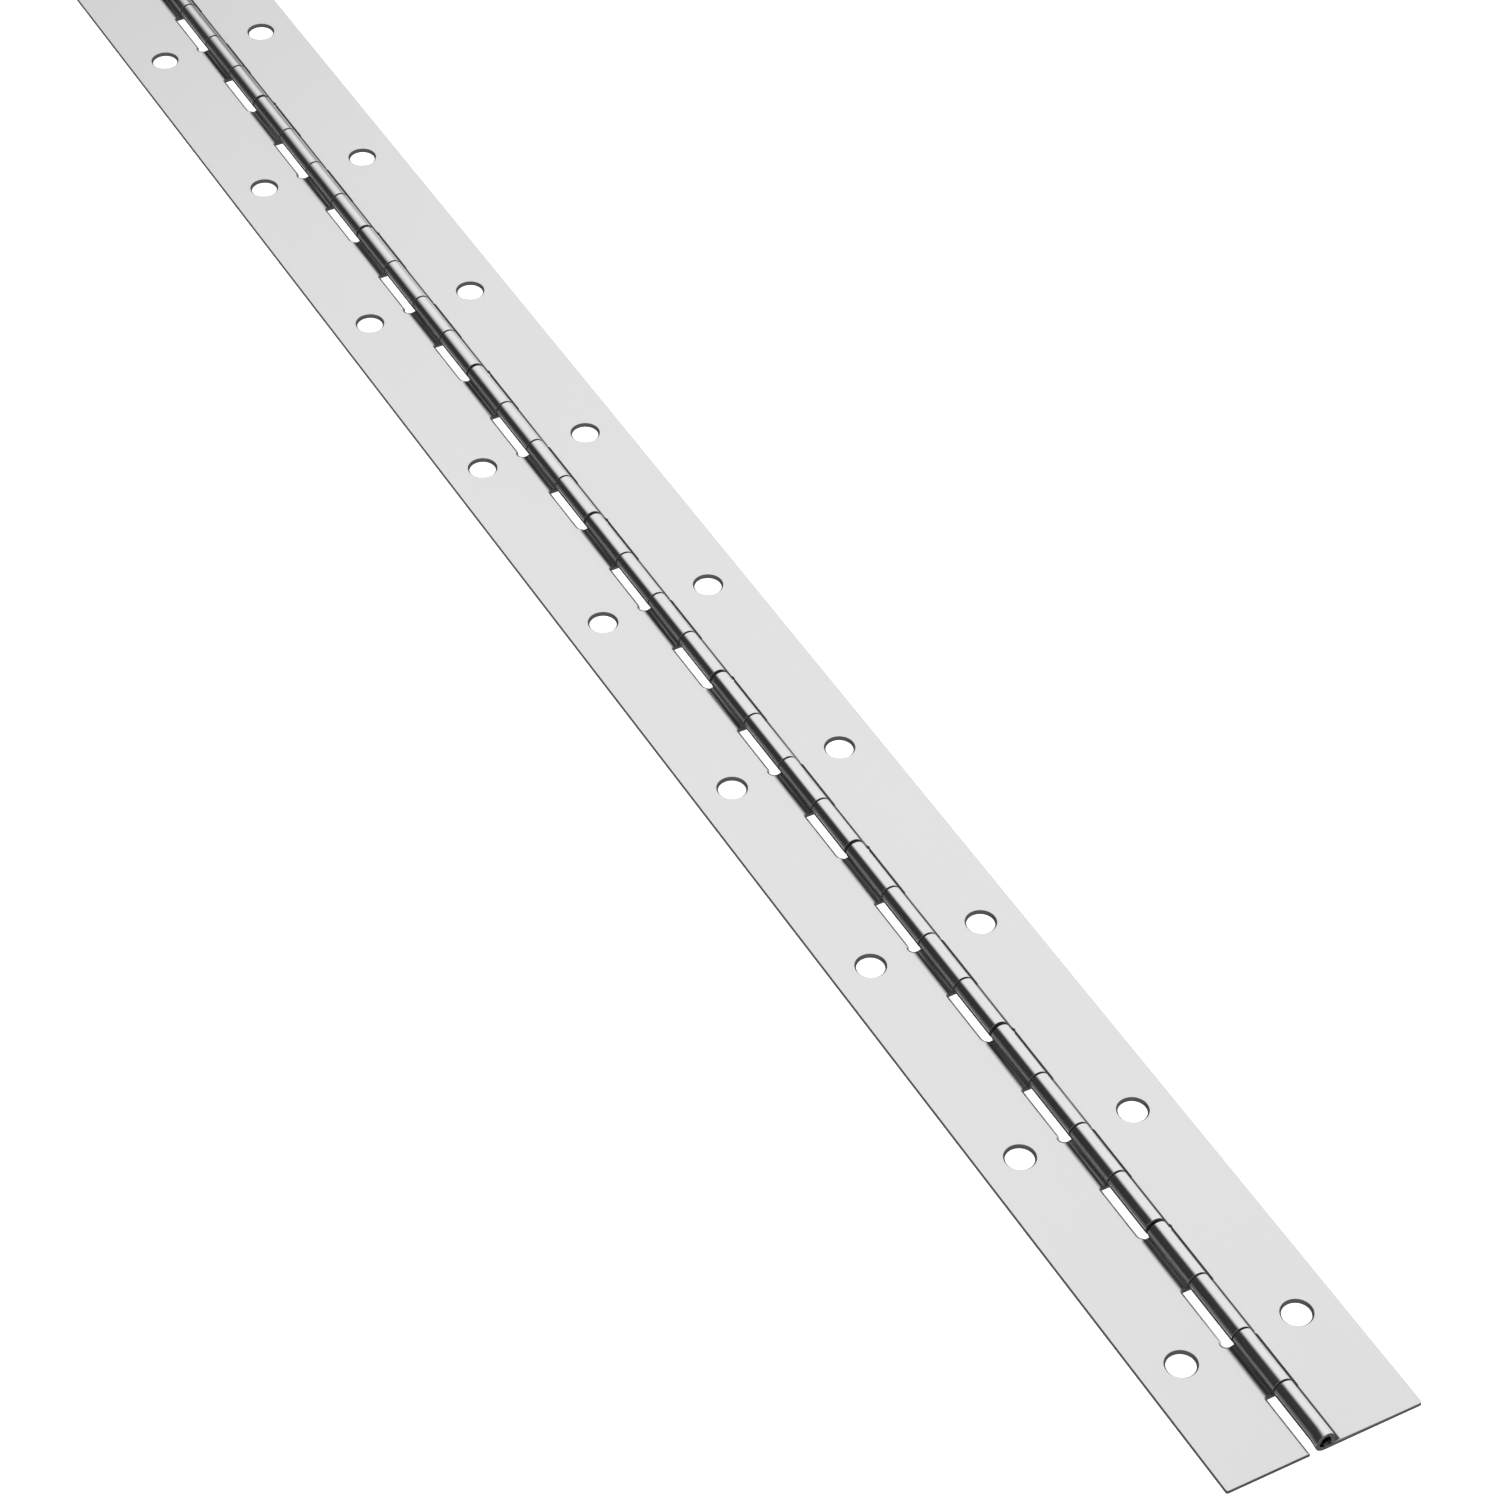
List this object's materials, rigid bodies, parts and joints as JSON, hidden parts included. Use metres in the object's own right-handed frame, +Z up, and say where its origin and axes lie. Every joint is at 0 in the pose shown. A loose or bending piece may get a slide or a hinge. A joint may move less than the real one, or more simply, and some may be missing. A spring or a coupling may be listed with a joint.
{
  "type": "piano hinge",
  "caption": "Long continuous hinge: two narrow sheet-metal leaves with rolled knuckles interleaved on one full-length pin, and a row of screw holes along each leaf.",
  "frame": {"origin": "under the pin's axis at the middle of the hinge's length, on the plane of the leaves' undersides, with the hinge open and flat", "axes": "+X across the hinge towards the right leaf, +Y along the pin, +Z up through the face that the barrel stands on"},
  "size_m": [0.0382, 0.6096, 0.0037],
  "materials": {
    "leaf_steel": "bright plated sheet steel, faint rolling grain",
    "pin_steel": "drawn steel wire"
  },
  "bodies": {
    "right_half": {"right_leaf": "leaf_steel", "pin": "pin_steel"},
    "left_half": {"left_leaf": "leaf_steel"}
  },
  "joints": [
    {"name": "leaf_hinge", "type": "hinge", "parent": "right_half", "child": "left_half", "pos_m": [0, 0, 0.00185], "axis": [0, 1, 0], "range_deg": [-108, 186]}
  ]
}
